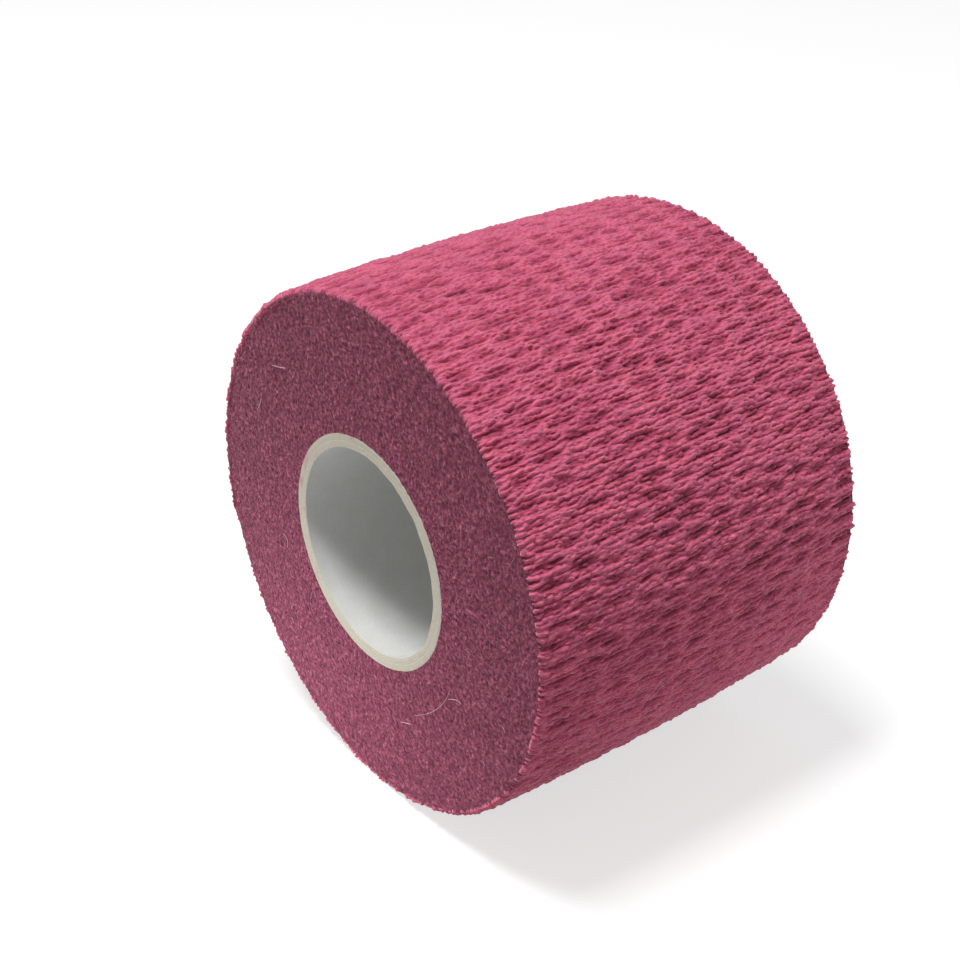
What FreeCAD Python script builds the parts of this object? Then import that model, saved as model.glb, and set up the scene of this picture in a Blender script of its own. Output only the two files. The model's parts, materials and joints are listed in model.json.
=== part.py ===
import FreeCAD, Part
import math
import os

# Roll of elastic crepe sports tape on a paperboard core.
# The roll lies on its round side. Its axis is Y, +Z is up, and the origin is the middle of the bore.
# All lengths are in millimetres and all angles in degrees, turning from +X towards +Z.

# ---- Driving dimensions ----

TAPE_WIDTH = 50.0

# The core is a paperboard tube of four plies, from the bore outwards.
BORE_RADIUS = 13.65
CORE_PLIES = (
    ("core_liner", 0.20),
    ("core_board_inner", 0.65),
    ("core_board_outer", 0.65),
    ("core_cover", 0.20),
)

# The tape is crepe cloth with a rubber coat on its inner side.
TURN_PITCH = 0.60
BACKING_THICKNESS = 0.42
COAT_THICKNESS = 0.16

# The winding starts this far outside the core's cover, where its first turn is closest to it.
WINDING_CLEARANCE = 0.02
WOUND_HALF_TURNS = 60

# The free end of the tape is a row of hinged segments that carries the winding on.
END_SEGMENTS = 6
END_SEGMENT_ANGLE = 12.0
END_START_ANGLE = 120.0
END_COAT_THICKNESS = 0.08
END_GAP = 0.04

# The soft roll is pressed flat where it lies on its round side.
REST_FLAT_DEPTH = 0.28

# ---- Derived dimensions ----

TAPE_THICKNESS = COAT_THICKNESS + BACKING_THICKNESS
CORE_RADIUS = BORE_RADIUS + sum(thickness for _, thickness in CORE_PLIES)
CENTRE_SHIFT = TURN_PITCH / 4
FIRST_RADIUS = CORE_RADIUS + CENTRE_SHIFT + WINDING_CLEARANCE
HALF_PITCH = TURN_PITCH / 2

# The layers of the tape, as distances out from the coat's inner face.
COAT_LAYER = (0.0, COAT_THICKNESS)
BACKING_LAYER = (COAT_THICKNESS, TAPE_THICKNESS)
END_COAT_LAYER = (COAT_THICKNESS - END_COAT_THICKNESS, COAT_THICKNESS)


def direction(angle):
    """The unit vector at an angle about the roll's axis."""
    turn = math.radians(angle)
    return FreeCAD.Vector(math.cos(turn), 0.0, math.sin(turn))


def half_turn_start(index):
    """The angle at which a half turn of the winding begins. The free end follows the last one."""
    return END_START_ANGLE + 180.0 * (index - WOUND_HALF_TURNS)


def half_turn_centre(index):
    """Half turns swap between two centres, so that each runs smoothly into the next."""
    return direction(half_turn_start(index)) * -CENTRE_SHIFT


def half_turn_radius(index):
    """The radius of the coat's inner face on a half turn."""
    return FIRST_RADIUS + HALF_PITCH * index


def point_on(index, offset, angle):
    """A point at an angle on a half turn, a distance out from the coat's inner face."""
    return half_turn_centre(index) + direction(angle) * (half_turn_radius(index) + offset)


def arc(index, offset, start, end):
    """An arc of a half turn between two angles."""
    points = [point_on(index, offset, angle) for angle in (start, (start + end) / 2, end)]
    return Part.Arc(*points).toShape()


def strip(spans, layer):
    """A strip across the tape's width, along (half turn, start angle, end angle) spans."""
    inner, outer = layer
    first_index, first_angle, _ = spans[0]
    last_index, _, last_angle = spans[-1]
    inner_arcs = [arc(index, inner, start, end) for index, start, end in spans]
    outer_arcs = [arc(index, outer, start, end) for index, start, end in reversed(spans)]
    first_edge = Part.makeLine(
        point_on(first_index, inner, first_angle), point_on(first_index, outer, first_angle)
    )
    last_edge = Part.makeLine(
        point_on(last_index, inner, last_angle), point_on(last_index, outer, last_angle)
    )
    outline = Part.Wire(Part.__sortEdges__(inner_arcs + [last_edge] + outer_arcs + [first_edge]))
    outline.translate(FreeCAD.Vector(0, -TAPE_WIDTH / 2, 0))
    return Part.Face(outline).extrude(FreeCAD.Vector(0, TAPE_WIDTH, 0))


def tube(inner_radius, outer_radius):
    """A tube as long as the tape is wide, centred on the origin along Y."""
    base = FreeCAD.Vector(0, -TAPE_WIDTH / 2, 0)
    axis = FreeCAD.Vector(0, 1, 0)
    outside = Part.makeCylinder(outer_radius, TAPE_WIDTH, base, axis)
    inside = Part.makeCylinder(inner_radius, TAPE_WIDTH, base, axis)
    return outside.cut(inside)


def make_core():
    """The four plies of the core, each a tube on the next."""
    plies = {}
    radius = BORE_RADIUS
    for name, thickness in CORE_PLIES:
        plies[name] = tube(radius, radius + thickness)
        radius += thickness
    return plies


def rest_flat_height():
    """The height of the flat that the roll lies on."""
    lowest_half_turn = WOUND_HALF_TURNS - 2
    centre = half_turn_centre(lowest_half_turn)
    radius = half_turn_radius(lowest_half_turn) + TAPE_THICKNESS
    return centre.z - radius + REST_FLAT_DEPTH


def below_rest_flat():
    """The block that the flat takes off the underside of the roll."""
    side = 2 * TAPE_WIDTH
    corner = FreeCAD.Vector(-side / 2, -side / 2, rest_flat_height() - side)
    return Part.makeBox(side, side, side, corner)


def make_winding():
    """The wound strip: its cloth, pressed flat underneath, and its coat."""
    spans = []
    for index in range(WOUND_HALF_TURNS):
        start = half_turn_start(index)
        spans.append((index, start, start + 180.0))
    return {
        "tape_backing": strip(spans, BACKING_LAYER).cut(below_rest_flat()),
        "tape_adhesive": strip(spans, COAT_LAYER),
    }


def hinge_angle(number):
    """The angle at which a segment of the free end begins, counting the segments from 0."""
    return END_START_ANGLE + END_SEGMENT_ANGLE * number


def make_free_end():
    """The segments of the free end. Each stands a small gap off the one before it."""
    gap_angle = math.degrees(END_GAP / half_turn_radius(WOUND_HALF_TURNS))
    pieces = {}
    for number in range(END_SEGMENTS):
        start = hinge_angle(number) + gap_angle
        spans = [(WOUND_HALF_TURNS, start, hinge_angle(number + 1))]
        pieces[f"tape_end_backing_{number + 1}"] = strip(spans, BACKING_LAYER)
        pieces[f"tape_end_adhesive_{number + 1}"] = strip(spans, END_COAT_LAYER)
    return pieces


def print_key_places():
    """The places that the joints and mounts are stated from."""
    print("tape length", round(tape_length()))
    print("rest flat height", rest_flat_height())
    for number in range(END_SEGMENTS):
        hinge = point_on(WOUND_HALF_TURNS, TAPE_THICKNESS, hinge_angle(number))
        print("hinge", number + 1, "at x", round(hinge.x, 4), "z", round(hinge.z, 4))


def tape_length():
    """The length of the strip along the middle of its cloth, with its free end."""
    middle = COAT_THICKNESS + BACKING_THICKNESS / 2
    wound = sum(math.pi * (half_turn_radius(index) + middle) for index in range(WOUND_HALF_TURNS))
    end_turn = math.radians(END_SEGMENTS * END_SEGMENT_ANGLE)
    return wound + end_turn * (half_turn_radius(WOUND_HALF_TURNS) + middle)


def main():
    os.makedirs("parts", exist_ok=True)
    nodes = {**make_core(), **make_winding(), **make_free_end()}
    for name, shape in nodes.items():
        shape.exportStep(f"parts/{name}.step")
        print(name, "valid", shape.isValid(), "solids", len(shape.Solids), "volume", round(shape.Volume, 2))
    print_key_places()


main()
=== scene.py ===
import json
import math

import bpy
import numpy as np
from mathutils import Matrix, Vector


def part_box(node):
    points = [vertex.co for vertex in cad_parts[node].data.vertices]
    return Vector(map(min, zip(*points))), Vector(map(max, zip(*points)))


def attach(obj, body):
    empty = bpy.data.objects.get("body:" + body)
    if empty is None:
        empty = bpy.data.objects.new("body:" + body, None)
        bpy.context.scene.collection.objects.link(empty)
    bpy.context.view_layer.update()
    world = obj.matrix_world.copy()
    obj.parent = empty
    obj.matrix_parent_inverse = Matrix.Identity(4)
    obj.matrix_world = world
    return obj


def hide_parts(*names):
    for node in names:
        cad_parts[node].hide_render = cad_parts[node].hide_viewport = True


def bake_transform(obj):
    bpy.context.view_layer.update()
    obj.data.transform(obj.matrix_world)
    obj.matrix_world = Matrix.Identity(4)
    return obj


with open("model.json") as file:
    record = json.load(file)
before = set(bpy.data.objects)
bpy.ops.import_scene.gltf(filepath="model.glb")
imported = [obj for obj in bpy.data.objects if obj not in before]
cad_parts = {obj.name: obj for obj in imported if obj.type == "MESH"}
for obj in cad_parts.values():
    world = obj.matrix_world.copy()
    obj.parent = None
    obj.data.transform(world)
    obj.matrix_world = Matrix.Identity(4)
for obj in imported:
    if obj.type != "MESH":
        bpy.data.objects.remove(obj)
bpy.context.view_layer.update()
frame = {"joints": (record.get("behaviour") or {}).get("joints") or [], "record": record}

# Roll of crepe sports tape on a paperboard core, with the free end of the tape on its hidden side.
# Lengths below are in millimetres and angles in degrees. make_mesh turns them into metres.
MM = 0.001

# ---- Camera and light ----

CAMERA_AZIMUTH = 51.94
CAMERA_ELEVATION = 28.56
CAMERA_DISTANCE = 207.0
CAMERA_TARGET = (-4.16, -4.03, 1.45)
SENSOR_WIDTH = 36.0
LENS = 59.27
CLIP_RANGE_M = (0.005, 20)

# The key is a square soft box that leans from straight up towards the left and the front.
KEY_DISTANCE = 900.0
KEY_SIZE = 230.0
KEY_LEAN_SIDE = 3.7
KEY_LEAN_FRONT = 13.0
KEY_POWER = 6.55

# The surroundings are a little brighter above the horizon than below it.
SKY_STRENGTH = 0.262
GROUND_STRENGTH = 0.225
SKY_COLOUR = (1.0, 1.0, 1.0)
HORIZON_BLUR = 0.3

# Faint low panels. Each has its place, the point that it faces, its size and its power.
FILL_COLOUR = (0.99, 1.04, 1.01)
FILLS = {
    "front_fill": ((-12.0, -60.0, -30.0), (2.0, -25.0, -28.0), (50.0, 10.0), 0.0088),
    "left_fill": ((-66.0, -66.0, -14.0), (-24.0, -25.0, -2.0), (30.0, 30.0), 0.0038),
    "side_fill": ((104.0, 74.0, -22.0), (16.0, 17.0, -24.0), (90.0, 20.0), 0.023),
}

FLOOR_COLOUR = (0.46, 0.46, 0.46)
FLOOR_GLOW = 0.66
BOUNCE_COLOUR = (0.42, 0.42, 0.42)
BOUNCE_SINK = 0.5
FLOOR_SIDE = 6000.0
SHEEN_ROUGHNESS = 0.3

# ---- The strip of tape ----

# Steps of its grid, along it in degrees and across it in millimetres. Its hidden side has few columns.
ROW_STEP = 0.15
COLUMN_STEP = 0.18
INNER_COLUMNS = 21
PROFILE_SAMPLES = 20001
TURN_PIECES = 8

# The face stands up in the middle and falls at its two edges. Its relief stands on FACE_LEVEL.
BULGE = 0.65
EDGE_DROP = 0.5
EDGE_REACH = 1.1
FACE_LEVEL = -0.13

# The outer turns lie a little off the core's axis, by so much in X and Z at each end face. So the
# roll rests lower than the CAD's, and the floor is REST_SINK below the CAD's lowest point.
FRONT_SHIFT = (-0.12, -0.85)
BACK_SHIFT = (0.45, 0.35)
REST_SINK = 1.1

# The cloth, the lining that closes it underneath, and the coat with the cloth's print in it.
CLOTH_DEPTH = 0.40
LINING_DEPTH = 0.1
LINING_WIDTH = 0.994
COAT_DEPTH = 0.12
COAT_OVERLAP = 0.02
COAT_WIDTH = 0.985
# COAT_MARGIN is the band along the coat's edges that is painted dark, as shade.
COAT_MARGIN = 0.6
PRINT_SHARE = 0.22

# ---- Crepe relief ----

# A cell is the size of a noise's cells, along the strip and across it. A range is a factor's limits.
# A slant is a mean and a spread.

# Yarns lie across the tape in wandering rows.
YARN_PITCH = 0.70
YARN_HEIGHT = 0.07
YARN_WANDER = 0.15
WANDER_CELL = (4.5, 5.5)
SMALL_WANDER_CELL = (1.7, 2.2)
SMALL_WANDER_SHARE = 0.4

# Dashes are the short turns of yarn that stand up on the rows.
DASH_PITCH = 1.0
DASH_HALF_LENGTH = 0.82
DASH_HALF_HEIGHT = 0.29
DASH_HEIGHT = 0.23
DASH_SLANT = (0.05, 0.04)
DASH_JITTER = 0.11
DASH_SPREAD = 0.24
DASH_LENGTH_RANGE = (0.6, 1.35)
DASH_WIDTH_RANGE = (0.75, 1.2)
DASH_TOP_RANGE = (0.45, 1.0)
DASH_PATCH = 1.1

# Dips are long lens-shaped hollows in staggered columns. Their floors are painted darker, as shade.
DIP_PITCH = 2.30
DIP_COLUMN = 4.15
DIP_FIRST_COLUMN = 0.35
DIP_HALF_LENGTH = 2.5
DIP_HALF_HEIGHT = 0.62
DIP_TIP_HEIGHT = 0.12
DIP_DEPTH = 0.37
DIP_PAINTED_SHADE = 0.11
DIP_SLANT = (0.03, 0.04)
DIP_JITTER = 0.19
DIP_SPREAD = 0.4
DIP_LENGTH_RANGE = (0.75, 1.2)
DIP_WIDTH_RANGE = (0.6, 1.2)
DIP_DEPTH_RANGE = (0.55, 1.0)
DIP_PATCH = 2.5

# Fuzz is the fibres' own roughness, and pits are the fine gaps in it, which the painted shade darkens.
FUZZ_HEIGHT = 0.11
FUZZ_CELL = (0.19, 0.5)
PIT_SHARE = 1.0
PIT_WIDTH = 0.3
PIT_CELL = (0.34, 0.85)
LONG_PIT_CELL = (0.42, 1.5)
SWELL_HEIGHT = 0.05
SWELL_CELL = (5.0, 8.0)

# Teeth are the yarns' ends along the two edges.
TOOTH_PITCH = 0.95
TOOTH_HEIGHT = 0.27
TOOTH_REACH = 1.1
TOOTH_RANGE = (0.35, 1.0)
TOOTH_SINK = 0.30
TOOTH_WANDER = 0.45
TOOTH_WANDER_CELL = (1.9, 3.0)
TOOTH_SIDE_SHIFT = 0.37

# The colour follows the height, as painted shade that is darker in the hollows. COVERED_SHADE is a
# darker painted shade on the hidden faces of the cloth, and a painted shadow on the edges of the
# stretch that lies under the free end. The cut end is frayed.
PAINTED_SHADE_TOP = 1.05
RELIEF_RANGE = 0.66
COVERED_SHADE = 0.25
FRAY_LENGTH = 0.35
FRAY_REACH = 1.2
FRAY_CELL = (5.0, 0.45)

# ---- Edges of the turns on the end faces ----

RING_ROW_STEP = 0.3
RING_COLUMNS = 150
RING_SINK = 0.05
RING_DEPTH = 1.0
RING_REACH = -0.25
RING_ROUND = 0.5
RING_FALL = 0.28
COVER_BLEND = 5.0
TURN_GROOVE = 0.02
TURN_WANDER = 0.5
TURN_WANDER_SIZE = 2.0
TURN_WAVER = 0.35
TURN_WAVER_SIZE = 0.8
NUB_PITCH = 0.50
NUB_HEIGHT = 0.06
NUB_LEVEL = 0.35
NUB_WANDER = 0.4
GRAIN_HEIGHT = 0.085
COARSE_SIZE = 0.40
COARSE_SHARE = 0.6
FINE_SIZE = 0.20
FINE_HEIGHT = 0.035
SPECK_CONTRAST = 0.35
# SHADE_RANGE sets how strongly the painted shade follows the relief.
SHADE_RANGE = 0.4
# These keep the noise of one end face apart from the other's.
FACE_OFFSET = 90
BACK_TURN_OFFSET = 500

# ---- Core ----

CORE_ROWS = 420
RIM_COLUMNS = 7
WALL_COLUMNS = 40
WALL_MARGIN = 1
RIM_CHAMFER = 0.02
RIM_REACH = 0.3
NEAR_RIM_STEP = 0.12
RIM_SHARE = 0.8
RIM_WAVE = 0.05
WAVE_SCALE = 9
RIM_FLARE = 0.03
WALL_WAVE = 0.012
RIM_GRAIN = 0.015
RIM_GRAIN_SIZE = 0.28
CHIP_DEPTH = 0.08
CHIP_SCALE = 22
CHIP_LEVEL = 0.45
STAIN_ANGLE = 170
STAIN_LEVEL = 0.62
STAIN_LIMIT = 0.55

# ---- Loose fibres ----

FIBRE_SIDES = 5
FIBRE_STEPS = 9
FIBRE_LIFT = 0.06
FIBRE_CURL = 0.25
LINT_COUNT = 26
LINT_RADIUS = 0.02
LINT_LENGTH_RANGE = (0.5, 1.5)
LINT_BEND = 60


# ---- Places that come from the frame ----

def circle_through(points):
    """The centre and the radius of the circle through three points of the XZ plane."""
    (x1, z1), (x2, z2), (x3, z3) = points
    rows = np.array([[x2 - x1, z2 - z1], [x3 - x1, z3 - z1]])
    squares = np.array([x2**2 + z2**2 - x1**2 - z1**2, x3**2 + z3**2 - x1**2 - z1**2])
    centre = np.linalg.solve(2 * rows, squares)
    return centre, math.hypot(x1 - centre[0], z1 - centre[1])


def angle_about(centre, point):
    """The angle of a point about a centre, from +X towards +Z."""
    return math.degrees(math.atan2(point[1] - centre[1], point[0] - centre[0]))


HINGES = [(joint["pos_m"][0] / MM, joint["pos_m"][2] / MM) for joint in frame["joints"]]
FREE_CENTRE, FREE_RADIUS = circle_through([HINGES[0], HINGES[2], HINGES[5]])
FREE_START = angle_about(FREE_CENTRE, HINGES[0])
SEGMENT_ANGLE = angle_about(FREE_CENTRE, HINGES[1]) - FREE_START
TURN_PITCH = 4 * math.hypot(*FREE_CENTRE)
HALF_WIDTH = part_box("tape_backing")[1].y / MM
FLOOR_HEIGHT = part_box("tape_backing")[0].z / MM - REST_SINK
CORE_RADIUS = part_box("core_cover")[1].x / MM
BORE_RADIUS = frame["record"]["mounts"][0]["dims"]["r_mm"]

# Angles along the strip count from the first hinge. The wound part is negative.
STRIP_START = -360.0 - SEGMENT_ANGLE / 2
ROOT_ANGLE = -SEGMENT_ANGLE / 2
STRIP_END = SEGMENT_ANGLE * len(HINGES)


# ---- Small tools ----

def value_noise(seed, u, v):
    """Smooth noise from -1 to 1 with one random value at each whole u and v."""
    low_u, low_v = int(np.floor(u.min())), int(np.floor(v.min()))
    size = (int(u.max()) - low_u + 3, int(v.max()) - low_v + 3)
    table = np.random.default_rng(seed).uniform(-1, 1, size)
    u, v = u - low_u, v - low_v
    i, j = np.floor(u).astype(int), np.floor(v).astype(int)
    a, b = u - i, v - j
    a, b = a * a * (3 - 2 * a), b * b * (3 - 2 * b)
    near = table[i, j] * (1 - b) + table[i, j + 1] * b
    far = table[i + 1, j] * (1 - b) + table[i + 1, j + 1] * b
    return near * (1 - a) + far * a


def cell_noise(seed, along, across, cell):
    """Smooth noise over the strip, with the size of its cells each way."""
    return value_noise(seed, along / cell[0], across / cell[1])


def soft_floor(height, level, softness=0.08):
    """Heights that never fall below a level, with a smooth turn where they reach it."""
    return level + softness * np.logaddexp(0, (height - level) / softness)


def make_mesh(name, points, faces, normals, strip, values):
    """A mesh from points and arrays of faces, each array with one number of corners."""
    mesh = bpy.data.meshes.new(name)
    corners = np.concatenate([face.ravel() for face in faces])
    sizes = np.concatenate([np.full(len(face), face.shape[1]) for face in faces])
    mesh.vertices.add(len(points))
    mesh.vertices.foreach_set("co", (points * MM).astype(np.float32).ravel())
    mesh.loops.add(len(corners))
    mesh.loops.foreach_set("vertex_index", corners.astype(np.int32))
    mesh.polygons.add(len(sizes))
    mesh.polygons.foreach_set("loop_start", (np.cumsum(sizes) - sizes).astype(np.int32))
    mesh.update(calc_edges=True)
    mesh.polygons.foreach_set("use_smooth", np.ones(len(sizes), bool))
    layer = mesh.uv_layers.new(name="strip")
    layer.data.foreach_set("uv", strip[corners].astype(np.float32).ravel())
    for key, value in values.items():
        attribute = mesh.attributes.new(key, "FLOAT", "POINT")
        attribute.data.foreach_set("value", value.astype(np.float32))
    if normals is not None:
        mesh.normals_split_custom_set(normals)
    return mesh


def grid_quads(rows, columns, first=0, flip=False):
    """The quads of a grid of points, numbered row by row."""
    index = first + np.arange(rows * columns).reshape(rows, columns)
    quads = np.stack([index[:-1, :-1], index[1:, :-1], index[1:, 1:], index[:-1, 1:]], -1)
    quads = quads.reshape(-1, 4)
    return quads[:, ::-1] if flip else quads


def grid_normals(points):
    """The normals of a grid of points."""
    normals = np.cross(np.gradient(points, axis=0), np.gradient(points, axis=1))
    return normals / np.maximum(np.linalg.norm(normals, axis=-1, keepdims=True), 1e-12)


def face_normals(points, faces):
    """One normal for each corner of flat faces."""
    first, third = points[faces[:, 2]] - points[faces[:, 0]], points[faces[:, -1]] - points[faces[:, 1]]
    normals = np.cross(first, third)
    normals /= np.maximum(np.linalg.norm(normals, axis=-1, keepdims=True), 1e-12)
    return np.repeat(normals, faces.shape[1], axis=0)


def slab(name, shown, hidden, shown_normals, strip, values, flip=False, hidden_shade=None):
    """A closed piece between a fine grid of points that shows and a coarser one that is hidden.
    Both have the same rows. The hidden one may have fewer columns, and a painted shade of its own."""
    rows, columns = shown.shape[:2]
    few = hidden.shape[1]
    base = rows * columns
    points = np.concatenate([shown.reshape(-1, 3), hidden.reshape(-1, 3)])
    top = np.arange(base).reshape(rows, columns)
    low = base + np.arange(rows * few).reshape(rows, few)
    walls = [
        np.stack([top[:-1, 0], low[:-1, 0], low[1:, 0], top[1:, 0]], -1),
        np.stack([top[1:, -1], low[1:, -1], low[:-1, -1], top[:-1, -1]], -1),
    ]
    ends = [
        np.concatenate([top[0, ::-1], low[0]])[None, ::-1],
        np.concatenate([top[-1], low[-1, ::-1]])[None, ::-1],
    ]
    under = grid_quads(rows, few, base)
    face_sets = [under[:, ::-1], *walls, *ends]
    if flip:
        face_sets = [faces[:, ::-1] for faces in face_sets]
    cover = grid_quads(rows, columns, flip=flip)
    cover_normals = shown_normals.reshape(-1, 3)[cover.ravel()]
    normals = np.concatenate([cover_normals] + [face_normals(points, faces) for faces in face_sets])
    spread = np.linspace(0, columns - 1, few).round().astype(int)
    strip = np.concatenate([strip.reshape(-1, 2), strip[:, spread].reshape(-1, 2)])
    under_values = {key: value[:, spread] for key, value in values.items()}
    if hidden_shade is not None:
        under_values["relief"] = np.full(hidden.shape[:2], hidden_shade)
    values = {
        key: np.concatenate([value.reshape(-1), under_values[key].reshape(-1)])
        for key, value in values.items()
    }
    return make_mesh(name, points, [cover] + face_sets, normals, strip, values)


def add_piece(name, mesh, material, nodes=()):
    """An object of a mesh, with its material and the CAD nodes that it stands for."""
    mesh.materials.append(material)
    piece = bpy.data.objects.new(name, mesh)
    bpy.context.scene.collection.objects.link(piece)
    if nodes:
        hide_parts(*nodes)
    return piece


# ---- Materials ----

def new_material(name, roughness, specular=0.3, sheen=0.0):
    """A material with its shader, and a function that adds nodes to it."""
    material = bpy.data.materials.new(name)
    material.use_nodes = True
    shader = material.node_tree.nodes["Principled BSDF"]
    shader.inputs["Roughness"].default_value = roughness
    shader.inputs["Specular IOR Level"].default_value = specular
    shader.inputs["Sheen Weight"].default_value = sheen
    shader.inputs["Sheen Roughness"].default_value = SHEEN_ROUGHNESS
    return material, shader


def add_node(material, kind, links=None, **settings):
    """A node with its settings, and links from other nodes' outputs into its inputs."""
    node = material.node_tree.nodes.new(kind)
    for key, value in settings.items():
        if key in node.inputs:
            node.inputs[key].default_value = value
        else:
            setattr(node, key, value)
    for key, output in (links or {}).items():
        material.node_tree.links.new(output, node.inputs[key])
    return node


def strip_coordinates(material, along, across):
    """The strip's own coordinates in millimetres, scaled each way."""
    place = add_node(material, "ShaderNodeUVMap", uv_map="strip")
    mapping = add_node(material, "ShaderNodeMapping", {"Vector": place.outputs["UV"]})
    mapping.inputs["Scale"].default_value = (along, across, 1)
    return mapping.outputs["Vector"]


def ramp(material, factor, stops):
    """A colour ramp through (position, colour) stops."""
    node = add_node(material, "ShaderNodeValToRGB", {"Fac": factor})
    elements = node.color_ramp.elements
    while len(elements) < len(stops):
        elements.new(0.5)
    for element, (position, colour) in zip(elements, stops):
        element.position = position
        element.color = (*colour, 1)
    return node.outputs["Color"]


def noise(material, vector, scale, detail=2.0, roughness=0.5):
    """A noise texture's value."""
    node = add_node(material, "ShaderNodeTexNoise", {"Vector": vector})
    node.inputs["Scale"].default_value = scale
    node.inputs["Detail"].default_value = detail
    node.inputs["Roughness"].default_value = roughness
    return node.outputs["Fac"]


def mix(material, kind, factor, first, second):
    """Two colours mixed. The factor is a number or an output."""
    node = add_node(material, "ShaderNodeMix", data_type="RGBA", blend_type=kind)
    if isinstance(factor, (int, float)):
        node.inputs["Factor"].default_value = factor
    else:
        material.node_tree.links.new(factor, node.inputs["Factor"])
    for key, value in (("A", first), ("B", second)):
        socket = [s for s in node.inputs if s.name == key and s.type == "RGBA"][0]
        if isinstance(value, tuple):
            socket.default_value = (*value, 1)
        else:
            material.node_tree.links.new(value, socket)
    return [s for s in node.outputs if s.type == "RGBA"][0]


def bump(material, height, strength, distance):
    """A bump from a height."""
    node = add_node(material, "ShaderNodeBump", {"Height": height})
    node.inputs["Strength"].default_value = strength
    node.inputs["Distance"].default_value = distance * MM
    return node.outputs["Normal"]


def connect(material, shader, **outputs):
    """Links from nodes' outputs into the shader. An underscore in a name stands for a space."""
    for key, output in outputs.items():
        material.node_tree.links.new(output, shader.inputs[key.replace("_", " ")])


def crepe_material():
    """Crepe cloth: rose yarns, deep maroon painted between them as shade, with fine fibres along the
    yarns.
    """
    material, shader = new_material("crepe_cloth", 0.92, 0.08, 1.0)
    relief = add_node(material, "ShaderNodeAttribute", attribute_name="relief").outputs["Fac"]
    # Painted shade: the ramp is dark maroon where the cloth lies low, and rose on the yarns.
    base = ramp(material, relief, [
        (0.0, (0.18, 0.029, 0.060)),
        (0.35, (0.40, 0.063, 0.122)),
        (0.70, (0.65, 0.108, 0.206)),
        (1.0, (0.80, 0.175, 0.298)),
    ])
    fibres = noise(material, strip_coordinates(material, 7.0, 1.6), 1.0, 4.0, 0.65)
    tone = noise(material, strip_coordinates(material, 0.22, 0.16), 1.0, 3.0)
    warm = noise(material, strip_coordinates(material, 0.9, 0.5), 1.0, 2.0)
    fibre_tone = ramp(material, fibres, [(0.3, (0.60, 0.54, 0.57)), (0.68, (1.16, 1.24, 1.20))])
    base = mix(material, "MULTIPLY", 1.0, base, fibre_tone)
    broad_tone = ramp(material, tone, [(0.3, (0.90, 0.88, 0.92)), (0.7, (1.06, 1.05, 1.03))])
    base = mix(material, "MULTIPLY", 1.0, base, broad_tone)
    warm_tone = ramp(material, warm, [(0.3, (0.96, 0.94, 1.03)), (0.7, (1.03, 1.03, 0.96))])
    base = mix(material, "MULTIPLY", 1.0, base, warm_tone)
    rough = ramp(material, fibres, [(0.2, (0.98, 0.98, 0.98)), (0.8, (0.85, 0.85, 0.85))])
    connect(material, shader, Base_Color=base, Roughness=rough)
    connect(material, shader, Normal=bump(material, fibres, 0.8, 0.08))
    return material


def edge_material():
    """The turns' edges: cut yarn ends in dull maroon, with paler fibres, and dark gaps that are painted
    shade.
    """
    material, shader = new_material("tape_edges", 0.95, 0.08, 0.3)
    relief = add_node(material, "ShaderNodeAttribute", attribute_name="relief").outputs["Fac"]
    speck = add_node(material, "ShaderNodeAttribute", attribute_name="speck").outputs["Fac"]
    # Painted shade: darker where the relief is lower, in the grooves between turns and beside low nubs.
    # The grain adds random tone.
    base = ramp(material, relief, [
        (0.0, (0.10, 0.016, 0.033)),
        (0.5, (0.315, 0.062, 0.112)),
        (1.0, (0.53, 0.150, 0.230)),
    ])
    specks = ramp(material, speck, [
        (0.0, (0.60, 0.56, 0.66)),
        (0.6, (1.02, 1.04, 1.04)),
        (1.0, (1.60, 1.95, 1.80)),
    ])
    base = mix(material, "MULTIPLY", 1.0, base, specks)
    fibres = noise(material, strip_coordinates(material, 5.0, 5.0), 1.0, 4.0, 0.7)
    fibre_tone = ramp(material, fibres, [(0.32, (0.58, 0.54, 0.60)), (0.68, (1.34, 1.40, 1.38))])
    base = mix(material, "MULTIPLY", 1.0, base, fibre_tone)
    flecks = noise(material, strip_coordinates(material, 1.5, 2.1), 1.0, 3.0, 0.6)
    fleck_tone = ramp(material, flecks, [(0.36, (0.70, 0.64, 0.80)), (0.64, (1.24, 1.34, 1.24))])
    base = mix(material, "MULTIPLY", 1.0, base, fleck_tone)
    rough = ramp(material, fibres, [(0.2, (1, 1, 1)), (0.8, (0.88, 0.88, 0.88))])
    connect(material, shader, Base_Color=base, Roughness=rough)
    connect(material, shader, Normal=bump(material, fibres, 0.7, 0.08))
    return material


def coat_material():
    """The rubber coat under the tape: pale pink, a little tacky, with the weave's print."""
    material, shader = new_material("adhesive_coat", 0.5, 0.45)
    relief = add_node(material, "ShaderNodeAttribute", attribute_name="relief").outputs["Fac"]
    # The darkest stop is painted shade, for the coat's edges and hidden faces.
    base = ramp(material, relief, [
        (0.0, (0.16, 0.03, 0.055)),
        (0.15, (0.58, 0.26, 0.31)),
        (0.9, (0.80, 0.56, 0.58)),
    ])
    grain = noise(material, strip_coordinates(material, 2.5, 2.5), 1.0, 5.0, 0.6)
    grain_tone = ramp(material, grain, [(0.3, (0.86, 0.84, 0.84)), (0.7, (1.06, 1.06, 1.06))])
    base = mix(material, "MULTIPLY", 1.0, base, grain_tone)
    rough = ramp(material, grain, [(0.3, (0.62, 0.62, 0.62)), (0.7, (0.42, 0.42, 0.42))])
    connect(material, shader, Base_Color=base, Roughness=rough)
    connect(material, shader, Normal=bump(material, grain, 0.5, 0.06))
    return material


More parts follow.
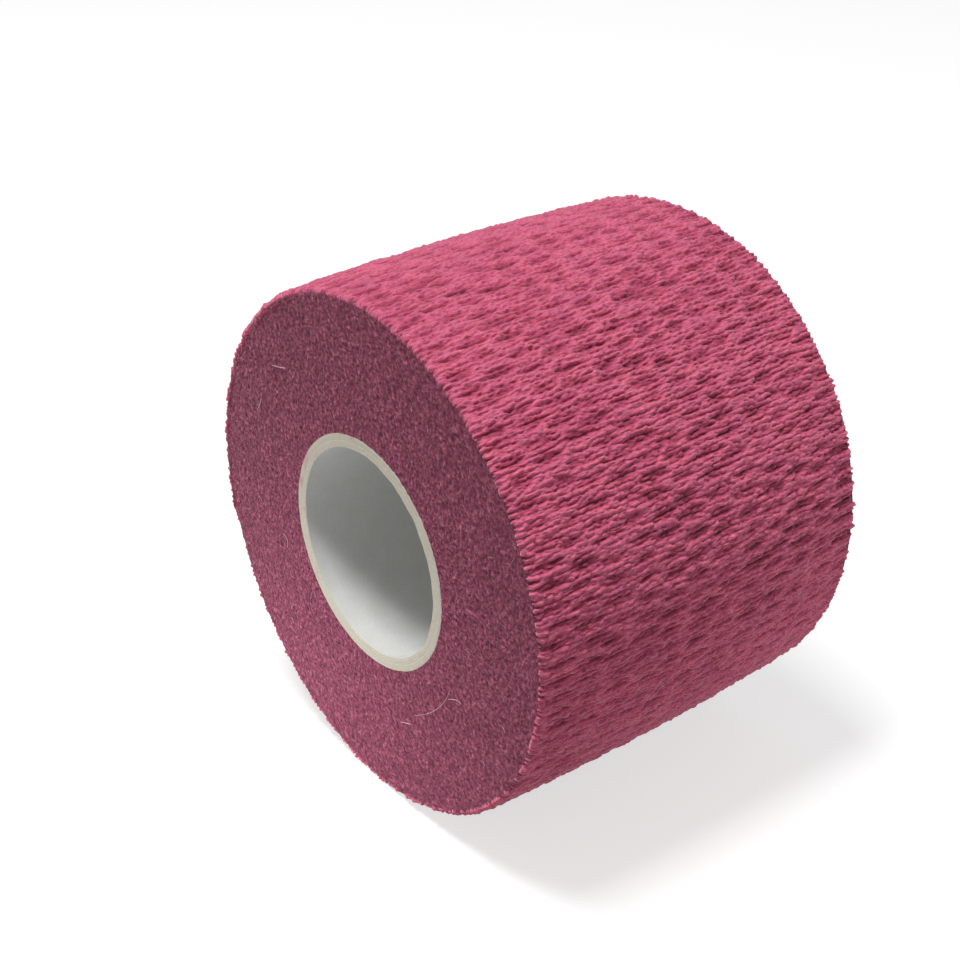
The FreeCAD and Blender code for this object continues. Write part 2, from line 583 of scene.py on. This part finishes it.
def paper_material(name, light, dark, roughness):
    """Paper or board: short fibres and faint blotches. Its cut rim is cream, with dye stains."""
    material, shader = new_material(name, roughness, 0.25)
    fibre = noise(material, strip_coordinates(material, 3.0, 3.0), 1.0, 6.0, 0.7)
    blotch = noise(material, strip_coordinates(material, 0.35, 0.35), 1.0, 3.0)
    base = ramp(material, fibre, [(0.3, dark), (0.65, light)])
    blotches = ramp(material, blotch, [(0.3, (0.95, 0.95, 0.94)), (0.7, (1.02, 1.02, 1.02))])
    base = mix(material, "MULTIPLY", 1.0, base, blotches)
    rim = add_node(material, "ShaderNodeAttribute", attribute_name="rim").outputs["Fac"]
    pulp = ramp(material, fibre, [(0.3, (0.575, 0.525, 0.43)), (0.65, (0.71, 0.655, 0.55))])
    base = mix(material, "MIX", rim, base, pulp)
    marks = add_node(material, "ShaderNodeAttribute", attribute_name="stain").outputs["Fac"]
    base = mix(material, "MIX", marks, base, (0.62, 0.30, 0.34))
    rough = ramp(material, fibre, [(0.3, (roughness + 0.05,) * 3), (0.7, (roughness - 0.08,) * 3)])
    connect(material, shader, Base_Color=base, Roughness=rough)
    connect(material, shader, Normal=bump(material, fibre, 0.35, 0.04))
    return material


def fibre_material():
    """Loose cotton fibres, pale pink with fainter and stronger stretches."""
    material, shader = new_material("loose_fibres", 0.8, 0.2, 0.2)
    streak = noise(material, strip_coordinates(material, 1.0, 1.0), 1.0, 3.0)
    base = ramp(material, streak, [(0.3, (0.58, 0.32, 0.41)), (0.7, (0.78, 0.56, 0.63))])
    connect(material, shader, Base_Color=base)
    return material


def floor_material():
    """A plain pale floor with a faint glow of its own."""
    material, shader = new_material("floor", 0.9, 0.0)
    shader.inputs["Base Color"].default_value = (*FLOOR_COLOUR, 1)
    shader.inputs["Emission Color"].default_value = (1, 1, 1, 1)
    shader.inputs["Emission Strength"].default_value = FLOOR_GLOW
    return material


def bounce_material():
    """A matt pale grey, for the plane that only sends light back up."""
    material, shader = new_material("floor_bounce", 1.0, 0.0)
    shader.inputs["Base Color"].default_value = (*BOUNCE_COLOUR, 1)
    return material


# ---- Building the strip of tape ----

def strip_points(angles, across, lift):
    """Points over the tape's outer face: angles along the strip, places across it, and a lift."""
    half = np.floor(angles / 180.0)
    side = np.where(half % 2 == 0, 1.0, -1.0)
    radius = FREE_RADIUS + half * TURN_PITCH / 2 + lift
    turn = np.radians(FREE_START + angles)
    back = (across / HALF_WIDTH + 1) / 2
    shift = [front + (rear - front) * back for front, rear in zip(FRONT_SHIFT, BACK_SHIFT)]
    x = side * FREE_CENTRE[0] + radius * np.cos(turn) + shift[0]
    z = side * FREE_CENTRE[1] + radius * np.sin(turn) + shift[1]
    return np.stack([x, across + 0 * x, z], -1)


def edge_profile(across):
    """The bulge of the tape's face in the middle, and its fall at the two edges."""
    near_edge = np.clip(1 - (HALF_WIDTH - np.abs(across)) / EDGE_REACH, 0, 1)
    drop = EDGE_DROP * (1 - np.sqrt(1 - near_edge**2))
    return BULGE * (1 - (across / HALF_WIDTH) ** 2) - drop


def strip_columns():
    """Places across the tape at even steps over its face, and the way over the face to each."""
    places = np.linspace(-HALF_WIDTH, HALF_WIDTH, PROFILE_SAMPLES)
    steps = np.hypot(np.diff(places), np.diff(edge_profile(places)))
    way = np.concatenate([[0], np.cumsum(steps)])
    even = np.linspace(0, way[-1], round(way[-1] / COLUMN_STEP) + 1)
    return np.interp(even, way, places), even


def patch_of(arc, way, middle, place, tall, long):
    """The part of the grid around a place, and how far its points are from it each way."""
    first, last = np.searchsorted(arc[:, 0], [middle - tall, middle + tall])
    left, right = np.searchsorted(way[0], [place - long, place + long])
    patch = (slice(first, last), slice(left, right))
    return patch, arc[patch] - middle, way[patch] - place


def dip_depth(arc, way):
    """How deep the cloth dips at each place, as a share. The dips are long lenses across the tape,
    in columns, and each column is half a step on from the next."""
    random = np.random.default_rng(11)
    depth = np.zeros(arc.shape)
    for column in range(int(way.max() / DIP_COLUMN) + 2):
        for row in range(int(arc.max() / DIP_PITCH) + 2):
            middle = DIP_PITCH * (row + 0.5 * (column % 2)) + random.normal(0, DIP_JITTER)
            place = DIP_COLUMN * (column - DIP_FIRST_COLUMN) + random.normal(0, DIP_SPREAD)
            half_length = DIP_HALF_LENGTH * random.uniform(*DIP_LENGTH_RANGE)
            half_height = DIP_HALF_HEIGHT * random.uniform(*DIP_WIDTH_RANGE)
            slant = random.normal(*DIP_SLANT)
            deep = random.uniform(*DIP_DEPTH_RANGE)
            patch, along, beside = patch_of(arc, way, middle, place, DIP_PATCH, half_length)
            lens = np.clip(1 - (beside / half_length) ** 2, 0, 1)
            along = along - slant * beside
            tall = half_height * lens + DIP_TIP_HEIGHT
            depth[patch] += deep * lens**0.7 * np.exp(-((along / tall) ** 2))
    return depth


def dash_height(arc, way, wander):
    """The height of the short turns of yarn that stand up in rows, the highest at each place."""
    random = np.random.default_rng(3)
    height = np.zeros(arc.shape)
    rows = int(arc.max() / YARN_PITCH) + 2
    dashes = int(way.max() / DASH_PITCH) + 3
    for row in range(rows):
        shift = random.uniform(-1, 0)
        for dash in range(dashes):
            middle = YARN_PITCH * row + random.normal(0, DASH_JITTER)
            place = DASH_PITCH * (dash + shift) + random.normal(0, DASH_SPREAD)
            half_length = DASH_HALF_LENGTH * random.uniform(*DASH_LENGTH_RANGE)
            half_height = DASH_HALF_HEIGHT * random.uniform(*DASH_WIDTH_RANGE)
            slant = random.normal(*DASH_SLANT)
            top = DASH_HEIGHT * random.uniform(*DASH_TOP_RANGE)
            patch, along, beside = patch_of(arc, way, middle, place, DASH_PATCH, half_length)
            along = along + wander[patch] - slant * beside
            body = np.clip(1 - (along / half_height) ** 2, 0, 1) ** 0.7
            body *= np.clip(1 - np.abs(beside / half_length) ** 2.5, 0, 1) ** 0.8
            height[patch] = np.maximum(height[patch], top * body)
    return height


def tooth_height(arc, way):
    """The yarn ends that stand out as teeth along the two edges."""
    random = np.random.default_rng(5)
    from_edge = np.minimum(way, way.max() - way)
    near = np.clip(1.5 - from_edge / TOOTH_REACH, 0, 1)
    side = (way > way.max() / 2).astype(int)
    wander = TOOTH_WANDER * cell_noise(6, arc, way, TOOTH_WANDER_CELL)
    place = arc / TOOTH_PITCH + wander + TOOTH_SIDE_SHIFT * side
    number = np.floor(place).astype(int)
    size = random.uniform(*TOOTH_RANGE, (number.max() + 1, 2))[number, side]
    return TOOTH_HEIGHT * near * (size * np.sin(np.pi * (place - number)) ** 0.8 - TOOTH_SINK)


def crepe_relief(arc, way):
    """The height of the cloth's face above its plain round form, and its height for the painted shade,
    lower in the dips.
    """
    wander = YARN_WANDER * cell_noise(1, arc, way, WANDER_CELL)
    wander += SMALL_WANDER_SHARE * YARN_WANDER * cell_noise(2, arc, way, SMALL_WANDER_CELL)
    dips = dip_depth(arc, way)
    dashes = dash_height(arc, way, wander)
    phase = (arc + wander) / YARN_PITCH
    yarns = np.sqrt(np.abs(np.cos(np.pi * phase)))
    fuzz = cell_noise(8, arc, way, FUZZ_CELL)
    pits = np.abs(cell_noise(15, arc + wander, way, PIT_CELL))
    pits = np.minimum(pits, np.abs(cell_noise(16, arc + wander, way, LONG_PIT_CELL)))
    fuzz += PIT_SHARE * (np.minimum(pits, PIT_WIDTH) / PIT_WIDTH - 1)
    swell = SWELL_HEIGHT * cell_noise(7, arc, way, SWELL_CELL)
    height = dashes + YARN_HEIGHT * yarns + swell + FUZZ_HEIGHT * fuzz - DIP_DEPTH * dips
    height += tooth_height(arc, way) + FACE_LEVEL
    return height, height - DIP_PAINTED_SHADE * dips


def make_strip():
    """The whole strip's face as one grid, which the pieces are cut from. They share its normals, so
    they meet without a seam."""
    rows = round((STRIP_END - STRIP_START) / ROW_STEP) + 1
    angles = STRIP_START + ROW_STEP * np.arange(rows)
    places, way = strip_columns()
    radius = FREE_RADIUS + np.floor(angles / 180.0) * TURN_PITCH / 2
    arc = np.cumsum(radius * math.radians(ROW_STEP))
    arc, way = np.meshgrid(arc, way, indexing="ij")
    relief, painted_shade_height = crepe_relief(arc, way)
    profile = edge_profile(places)
    slope = np.gradient(profile, way[0])
    outward = (np.gradient(places, way[0]), -slope)
    # Painted shade: the colour is darker where the cloth lies lower, and darker still in the dips.
    shade = np.clip(PAINTED_SHADE_TOP + painted_shade_height / RELIEF_RANGE, 0, 1)
    # Painted shadow: the edges of the stretch that lies under the free end are darker.
    covered = (angles[:, None] < STRIP_END - 360.0) & (HALF_WIDTH - np.abs(places) < EDGE_REACH)
    shade = np.where(covered, COVERED_SHADE * shade, shade)
    to_end = np.radians(STRIP_END - angles) * FREE_RADIUS
    frayed = np.clip(1 - to_end / FRAY_REACH, 0, 1)[:, None] * cell_noise(9, way, way, FRAY_CELL)
    angle_grid = angles[:, None] + np.degrees(FRAY_LENGTH / FREE_RADIUS) * frayed
    cloth = strip_points(angle_grid, places + outward[1] * relief, profile + outward[0] * relief)
    cloth[..., 2] = soft_floor(cloth[..., 2], FLOOR_HEIGHT)
    few = np.linspace(0, len(places) - 1, INNER_COLUMNS).round().astype(int)
    lining_level = profile[few] - CLOTH_DEPTH - LINING_DEPTH
    lining = strip_points(angle_grid[:, few], places[few] * LINING_WIDTH, lining_level)
    lining[..., 2] = soft_floor(lining[..., 2], FLOOR_HEIGHT + CLOTH_DEPTH)
    return {
        "arc": arc,
        "way": way,
        "places": places,
        "relief": relief,
        "shade": shade,
        "turn": angle_grid,
        "cloth": cloth,
        "lining": lining,
        "normals": -grid_normals(cloth),
        "few": few,
    }


def strip_rows(start, end):
    """The rows of the strip between two angles."""
    first = round((start - STRIP_START) / ROW_STEP)
    last = round((end - STRIP_START) / ROW_STEP)
    return slice(first, last + 1)


def cloth_piece(strip, name, start, end, material, nodes):
    """A stretch of the cloth between two angles."""
    rows = strip_rows(start, end)
    place = np.stack([strip["arc"][rows], strip["way"][rows]], -1)
    # The hidden faces are painted dark with COVERED_SHADE, as shade.
    mesh = slab(
        name, strip["cloth"][rows], strip["lining"][rows], strip["normals"][rows],
        place, {"relief": strip["shade"][rows]}, flip=True, hidden_shade=COVERED_SHADE,
    )
    return add_piece(name, mesh, material, nodes)


def make_outer_turn(strip, material):
    """The outermost turn in equal stretches, down to where the free end leaves the roll."""
    step = (ROOT_ANGLE - STRIP_START) / TURN_PIECES
    pieces = []
    for number in range(TURN_PIECES):
        start = STRIP_START + step * number
        name = f"tape_turn_{number + 1}"
        piece = cloth_piece(strip, name, start, start + step, material, ["tape_backing"])
        pieces.append(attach(piece, "roll"))
    return pieces


def coat_piece(strip, name, start, end, material, nodes):
    """A stretch of the coat under the free end. Its lower face shows when the end is peeled."""
    rows = strip_rows(start, end)
    angles = strip["turn"][rows]
    across = strip["places"] * COAT_WIDTH + 0 * strip["way"][rows]
    level = edge_profile(across) - CLOTH_DEPTH - COAT_DEPTH + PRINT_SHARE * strip["relief"][rows]
    lower = strip_points(angles, across, level)
    few = strip["few"]
    upper_level = edge_profile(across[:, few]) - CLOTH_DEPTH + COAT_OVERLAP
    upper = strip_points(angles[:, few], across[:, few], upper_level)
    place = np.stack([strip["arc"][rows], strip["way"][rows]], -1)
    normals = grid_normals(lower)
    # Within COAT_MARGIN of the edges the coat is painted dark, as shade, and its hidden faces are too.
    inside = HALF_WIDTH - np.abs(strip["places"]) > COAT_MARGIN
    shade = {"relief": strip["shade"][rows] * inside}
    mesh = slab(name, lower, upper, normals, place, shade, hidden_shade=0.0)
    return add_piece(name, mesh, material, nodes)


def make_free_end(strip, cloth, coat):
    """The free end, in stretches from the middle of a segment to the next, so that each but the last
    takes in one hinge. Only the last is attached to a body, the last segment's.
    """
    bodies = ["roll"] + [f"tape_end_{number + 1}" for number in range(len(HINGES))]
    pieces = []
    for number in range(len(bodies)):
        start = ROOT_ANGLE + SEGMENT_ANGLE * number
        end = min(start + SEGMENT_ANGLE, STRIP_END)
        nodes = ([], [])
        if number:
            nodes = ([f"tape_end_backing_{number}"], [f"tape_end_adhesive_{number}"])
        stretch = [
            cloth_piece(strip, f"free_end_cloth_{number}", start, end, cloth, nodes[0]),
            coat_piece(strip, f"free_end_coat_{number}", start, end, coat, nodes[1]),
        ]
        for piece in stretch:
            if number < len(HINGES):
                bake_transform(piece)
            else:
                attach(piece, bodies[number])
        pieces += stretch
    return pieces


# ---- The turns' edges on the two end faces ----

def grain(seed, x, z, size):
    """Even grain of one size, from two noises turned against each other."""
    turned_x, turned_z = 0.8 * x - 0.6 * z, 0.6 * x + 0.8 * z
    first = value_noise(seed, x / size, z / size)
    return 0.7 * (first + value_noise(seed + 1, turned_x / size, turned_z / size))


def edge_relief(x, z, radius, outer, angle):
    """The relief of the stacked edges: a groove between turns, and a nub where each yarn ends."""
    wander = TURN_WANDER * value_noise(21, x / TURN_WANDER_SIZE, z / TURN_WANDER_SIZE)
    wander += TURN_WAVER * grain(22, x, z, TURN_WAVER_SIZE)
    turns = (outer - radius + wander) / TURN_PITCH + 2
    turn = np.floor(turns).astype(int)
    layer = np.sin(np.pi * (turns - turn)) ** 0.6
    random = np.random.default_rng(23)
    offset = random.uniform(0, 9, turn.max() + 1)[turn]
    places = np.radians(angle) * radius.mean() / NUB_PITCH + offset
    places = places + NUB_WANDER * grain(27, x, z, 1.0)
    nub = np.floor(places - places.min()).astype(int)
    along = (places - places.min()) - nub
    value = random.uniform(0, 1, (turn.max() + 1, nub.max() + 1))[turn, nub]
    nubs = (value - NUB_LEVEL) * layer * np.sin(np.pi * along) ** 0.7
    coarse, fine = grain(24, x, z, COARSE_SIZE), grain(25, x, z, FINE_SIZE)
    height = TURN_GROOVE * (layer - 1) + NUB_HEIGHT * nubs
    height = height + GRAIN_HEIGHT * coarse * COARSE_SHARE + FINE_HEIGHT * fine
    return height, np.clip(0.5 + SPECK_CONTRAST * (value - 0.5) + SPECK_CONTRAST * fine, 0, 1)


def make_end_face(side, material):
    """The edges of all turns on one end face, as two half rings."""
    name = "front" if side < 0 else "back"
    rows = round((ROOT_ANGLE - STRIP_START) / RING_ROW_STEP) + 1
    angles = np.linspace(STRIP_START, ROOT_ANGLE, rows)
    turn = np.radians(FREE_START + angles)
    inner = CORE_RADIUS * np.stack([np.cos(turn), np.sin(turn)], -1)
    uncover = np.clip((angles - STRIP_END + 360.0) / COVER_BLEND, 0, 1)
    level = -EDGE_DROP - RING_REACH + TURN_PITCH * (1 - uncover)
    outer = strip_points(angles, np.full(rows, side * HALF_WIDTH), level)[:, [0, 2]]
    share = np.linspace(0, 1, RING_COLUMNS)[None, :, None]
    flat = inner[:, None] * (1 - share) + outer[:, None] * share
    x, z = flat[..., 0], flat[..., 1]
    radius = np.hypot(x, z)
    outer_radius = np.hypot(outer[:, 0], outer[:, 1])[:, None] + 0 * x
    angle_grid = angles[:, None] + 0 * x + (BACK_TURN_OFFSET if side > 0 else 0)
    relief, speck = edge_relief(x + FACE_OFFSET * side, z, radius, outer_radius, angle_grid)
    fall = np.clip(1 - (outer_radius - radius) / RING_ROUND, 0, 1) ** 2
    height = HALF_WIDTH - RING_SINK + relief - RING_FALL * fall
    points = np.stack([x, side * height, z], -1)
    normals = grid_normals(points) * (1 if side < 0 else -1)
    rims = flat[:, [0, -1]]
    depth = np.full(rims.shape[:2], side * (HALF_WIDTH - RING_DEPTH))
    back = np.stack([rims[..., 0], depth, rims[..., 1]], -1)
    place = np.stack([x, z], -1)
    # Painted shade: darker where the relief is lower, most in the grooves between turns.
    shade = np.clip(0.5 + relief / SHADE_RANGE, 0, 1)
    middle = rows // 2
    for part, span in enumerate((slice(0, middle + 1), slice(middle, rows))):
        piece_name = f"tape_edges_{name}_{part + 1}"
        values = {"relief": shade[span], "speck": speck[span]}
        mesh = slab(
            piece_name, points[span], back[span], normals[span], place[span], values, flip=side > 0
        )
        piece = add_piece(piece_name, mesh, material, ["tape_adhesive"])
        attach(piece, "roll")


# ---- The core ----

def make_ply(name, node, inner, outer, material, seed):
    """One ply of the core: a tube with rough cut rims."""
    rim = np.linspace(inner + RIM_CHAMFER, outer - RIM_CHAMFER, RIM_COLUMNS)
    near_rim = HALF_WIDTH - np.array([RIM_CHAMFER, NEAR_RIM_STEP, RIM_REACH])
    wall = np.linspace(-HALF_WIDTH + WALL_MARGIN, HALF_WIDTH - WALL_MARGIN, WALL_COLUMNS)
    wall = np.concatenate([-near_rim, wall, near_rim[::-1]])
    profile_r = np.concatenate([0 * wall + inner, rim, 0 * wall + outer, rim[::-1]])
    profile_y = np.concatenate([wall, 0 * rim + HALF_WIDTH, wall[::-1], 0 * rim - HALF_WIDTH])
    columns = len(profile_r)
    turn = np.linspace(0, 2 * np.pi, CORE_ROWS, endpoint=False)[:, None]
    angle = turn + 0 * profile_r[None]
    r, y = profile_r[None] + 0 * turn, profile_y[None] + 0 * turn
    on_rim = np.clip(1 - (HALF_WIDTH - np.abs(y)) / RIM_REACH, 0, 1)
    circle = np.stack([np.cos(angle), np.sin(angle)])
    end = np.sign(y)
    wave = value_noise(39, circle[0] * WAVE_SCALE + 20, circle[1] * WAVE_SCALE + end * 5 + 40)
    fine = value_noise(seed + 1, circle[0] * r / RIM_GRAIN_SIZE, circle[1] * r / RIM_GRAIN_SIZE + y)
    chips = value_noise(seed + 2, circle[0] * CHIP_SCALE, circle[1] * CHIP_SCALE + end * 50)
    chips = np.clip(chips - CHIP_LEVEL, 0, 1)
    worn = RIM_WAVE * (wave + 1) / 2 + RIM_GRAIN * fine + CHIP_DEPTH * chips
    y = y - end * on_rim * worn
    r = r + on_rim * RIM_FLARE * wave + WALL_WAVE * wave
    points = np.stack([r * circle[0], y, r * circle[1]], -1)
    index = np.arange(CORE_ROWS * columns).reshape(CORE_ROWS, columns)
    after = np.roll(index, -1, axis=0)
    beside, after_beside = np.roll(index, -1, axis=1), np.roll(after, -1, axis=1)
    quads = np.stack([index, beside, after_beside, after], -1).reshape(-1, 4)
    place = np.stack([angle * inner, profile_y[None] + profile_r[None] + 0 * angle], -1)
    smear = 0.6 * value_noise(37, circle[0] * r / 3, circle[1] * r / 3)
    smear += 0.5 * value_noise(38, circle[0] * r, circle[1] * r)
    left = np.clip(np.cos(angle - math.radians(STAIN_ANGLE)), 0, 1) ** 2
    stain = on_rim * np.clip(smear * 1.1 + left * 0.75 - STAIN_LEVEL, 0, STAIN_LIMIT)
    values = {"stain": stain.ravel(), "rim": (on_rim > RIM_SHARE).ravel()}
    mesh = make_mesh(name, points.reshape(-1, 3), [quads], None, place.reshape(-1, 2), values)
    piece = add_piece(name, mesh, material, [node])
    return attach(piece, "roll")


def make_core():
    """The four plies, from the bore outwards."""
    liner = paper_material("liner_paper", (0.735, 0.735, 0.720), (0.665, 0.665, 0.650), 0.6)
    board = paper_material("core_board", (0.86, 0.82, 0.66), (0.74, 0.70, 0.54), 0.85)
    cover = paper_material("cover_paper", (0.80, 0.74, 0.60), (0.66, 0.60, 0.48), 0.8)
    plies = [
        ("core_liner", liner, "core_paper"),
        ("core_board_inner", board, "core_board"),
        ("core_board_outer", board, "core_board"),
        ("core_cover", cover, "core_paper"),
    ]
    inner = BORE_RADIUS
    for number, (node, material, slot) in enumerate(plies):
        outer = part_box(node)[1].x / MM
        make_ply(node.replace("core_", "ply_"), node, inner, outer, material, 40 + 10 * number)
        inner = outer


# ---- Loose fibres ----

def tube_along(path, radius, first):
    """A thin closed tube along a path, with tapered ends."""
    steps = np.gradient(path, axis=0)
    steps /= np.linalg.norm(steps, axis=1, keepdims=True)
    across = np.cross(steps, np.array([0.0, 1.0, 0.0]))
    across /= np.maximum(np.linalg.norm(across, axis=1, keepdims=True), 1e-9)
    up = np.cross(across, steps)
    turn = np.linspace(0, 2 * np.pi, FIBRE_SIDES, endpoint=False)
    taper = radius * np.sin(np.linspace(0.25, np.pi - 0.25, len(path))) ** 0.4
    ring = np.cos(turn)[None, :, None] * across[:, None] + np.sin(turn)[None, :, None] * up[:, None]
    points = path[:, None] + ring * taper[:, None, None]
    index = first + np.arange(len(path) * FIBRE_SIDES).reshape(len(path), FIBRE_SIDES)
    beside = np.roll(index, -1, axis=1)
    quads = np.stack([index[:-1], index[1:], beside[1:], beside[:-1]], -1).reshape(-1, 4)
    caps = np.stack([index[0], index[-1, ::-1]])
    return points.reshape(-1, 3), quads, caps


def fibre_path(side, radius, angle, heading, length, bend):
    """A fibre that lies on an end face, with its middle at a radius and an angle."""
    along = np.linspace(-0.5, 0.5, FIBRE_STEPS)
    turn = math.radians(heading) + math.radians(bend) * along
    step = length * (along[1] - along[0])
    dx, dz = np.cumsum(np.cos(turn)) * step, np.cumsum(np.sin(turn)) * step
    x = radius * math.cos(math.radians(angle)) + dx - dx.mean()
    z = radius * math.sin(math.radians(angle)) + dz - dz.mean()
    height = HALF_WIDTH + FIBRE_LIFT + FIBRE_CURL * (2 * along) ** 2
    return np.stack([x, side * height, z], -1)


def fibre_piece(name, fibres, material):
    """Several fibres as one piece, each with its path and its radius."""
    points, quads, caps, count = [], [], [], 0
    for path, radius in fibres:
        tube_points, tube_quads, tube_caps = tube_along(path, radius, count)
        points.append(tube_points)
        quads.append(tube_quads)
        caps.append(tube_caps)
        count += len(tube_points)
    points = np.concatenate(points)
    faces = [np.concatenate(quads), np.concatenate(caps)]
    mesh = make_mesh(name, points, faces, None, points[:, [0, 2]], {})
    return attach(add_piece(name, mesh, material), "roll")


def make_fibres():
    """Loose fibres on the end faces: a few long ones on the front, and short lint on both."""
    material = fibre_material()
    # Each has the radius and the angle of its middle, its heading, length, bend and thickness.
    long_ones = [
        (25.7, 133.0, 12.0, 3.6, 25.0, 0.05),
        (26.0, 153.5, 62.0, 2.6, -25.0, 0.055),
        (20.0, 200.0, 112.0, 2.0, 15.0, 0.04),
        (21.5, 327.5, 18.0, 2.6, -20.0, 0.055),
        (22.4, 291.0, 22.0, 2.4, 25.0, 0.055),
        (20.4, 313.0, 45.0, 11.0, 38.0, 0.028),
    ]
    fibre_piece("fibres_front", [(fibre_path(-1, *row[:-1]), row[-1]) for row in long_ones], material)
    random = np.random.default_rng(31)
    room = FREE_RADIUS - CORE_RADIUS - 3
    for side, name in ((-1, "lint_front"), (1, "lint_back")):
        fibres = []
        for _ in range(LINT_COUNT):
            radius = CORE_RADIUS + 1 + room * math.sqrt(random.uniform(0, 1))
            angle, heading = random.uniform(0, 360, 2)
            length, bend = random.uniform(*LINT_LENGTH_RANGE), random.normal(0, LINT_BEND)
            fibres.append((fibre_path(side, radius, angle, heading, length, bend), LINT_RADIUS))
        fibre_piece(name, fibres, material)


# ---- Floor, light and camera ----

def add_plane(name, height, material):
    """A wide level plane."""
    side = FLOOR_SIDE / 2
    corners = np.array([(-side, -side), (side, -side), (side, side), (-side, side)])
    points = np.column_stack([corners, np.full(4, height)])
    mesh = make_mesh(name, points, [np.array([[0, 1, 2, 3]])], None, corners, {})
    mesh.materials.append(material)
    plane = bpy.data.objects.new(name, mesh)
    bpy.context.scene.collection.objects.link(plane)
    return plane


def make_floor():
    """A wide pale floor under the roll. It takes shadows and casts no light back on the roll."""
    floor = add_plane("floor", FLOOR_HEIGHT, floor_material())
    floor.visible_diffuse = False
    floor.visible_shadow = False


def make_bounce():
    """The floor again, for the light that it sends back up. The camera doesn't see this one."""
    bounce = add_plane("floor_bounce", FLOOR_HEIGHT - BOUNCE_SINK, bounce_material())
    bounce.visible_camera = False
    bounce.visible_glossy = False


def make_light():
    """A soft box almost straight above the roll."""
    data = bpy.data.lights.new("key", "AREA")
    data.shape = "SQUARE"
    data.size = KEY_SIZE * MM
    data.energy = KEY_POWER
    key = bpy.data.objects.new("key", data)
    bpy.context.scene.collection.objects.link(key)
    lean = (-math.tan(math.radians(KEY_LEAN_SIDE)), -math.tan(math.radians(KEY_LEAN_FRONT)), 1.0)
    towards = Vector(lean).normalized()
    key.location = towards * KEY_DISTANCE * MM
    key.rotation_euler = towards.to_track_quat("Z", "Y").to_euler()


def make_fills():
    """The faint low panels, as light comes back from a table."""
    for name, (place, target, size, power) in FILLS.items():
        data = bpy.data.lights.new(name, "AREA")
        data.shape = "RECTANGLE"
        data.size, data.size_y = size[0] * MM, size[1] * MM
        data.energy = power
        data.color = FILL_COLOUR
        fill = bpy.data.objects.new(name, data)
        bpy.context.scene.collection.objects.link(fill)
        fill.visible_camera = False
        fill.location = Vector(place) * MM
        fill.rotation_euler = (Vector(place) - Vector(target)).to_track_quat("Z", "Y").to_euler()


def make_world():
    """Pale light from all around."""
    world = bpy.data.worlds.new("studio")
    bpy.context.scene.world = world
    world.use_nodes = True
    nodes, links = world.node_tree.nodes, world.node_tree.links
    place = nodes.new("ShaderNodeTexCoord")
    split = nodes.new("ShaderNodeSeparateXYZ")
    links.new(place.outputs["Generated"], split.inputs["Vector"])
    blend = nodes.new("ShaderNodeMapRange")
    blend.inputs["From Min"].default_value = -HORIZON_BLUR
    blend.inputs["From Max"].default_value = HORIZON_BLUR
    blend.inputs["To Min"].default_value = GROUND_STRENGTH
    blend.inputs["To Max"].default_value = SKY_STRENGTH
    links.new(split.outputs["Z"], blend.inputs["Value"])
    background = nodes["Background"]
    background.inputs["Color"].default_value = (*SKY_COLOUR, 1)
    links.new(blend.outputs["Result"], background.inputs["Strength"])


def make_camera():
    """The camera, on the roll's front end face and its right side."""
    azimuth, elevation = math.radians(CAMERA_AZIMUTH), math.radians(CAMERA_ELEVATION)
    outward = Vector((
        math.sin(azimuth) * math.cos(elevation),
        -math.cos(azimuth) * math.cos(elevation),
        math.sin(elevation),
    ))
    data = bpy.data.cameras.new("camera")
    data.sensor_width = SENSOR_WIDTH
    data.lens = LENS
    data.clip_start, data.clip_end = CLIP_RANGE_M
    camera = bpy.data.objects.new("camera", data)
    bpy.context.scene.collection.objects.link(camera)
    camera.location = (Vector(CAMERA_TARGET) + outward * CAMERA_DISTANCE) * MM
    camera.rotation_euler = outward.to_track_quat("Z", "Y").to_euler()
    bpy.context.scene.camera = camera


# ---- The scene ----


def main():
    """Everything in order."""
    make_camera()
    make_light()
    make_fills()
    make_world()
    make_floor()
    make_bounce()
    cloth = crepe_material()
    coat = coat_material()
    edges = edge_material()
    strip = make_strip()
    turn = make_outer_turn(strip, cloth)
    free_end = make_free_end(strip, cloth, coat)
    for side in (-1, 1):
        make_end_face(side, edges)
    make_core()
    make_fibres()
    bpy.context.scene.view_settings.view_transform = "Standard"


main()
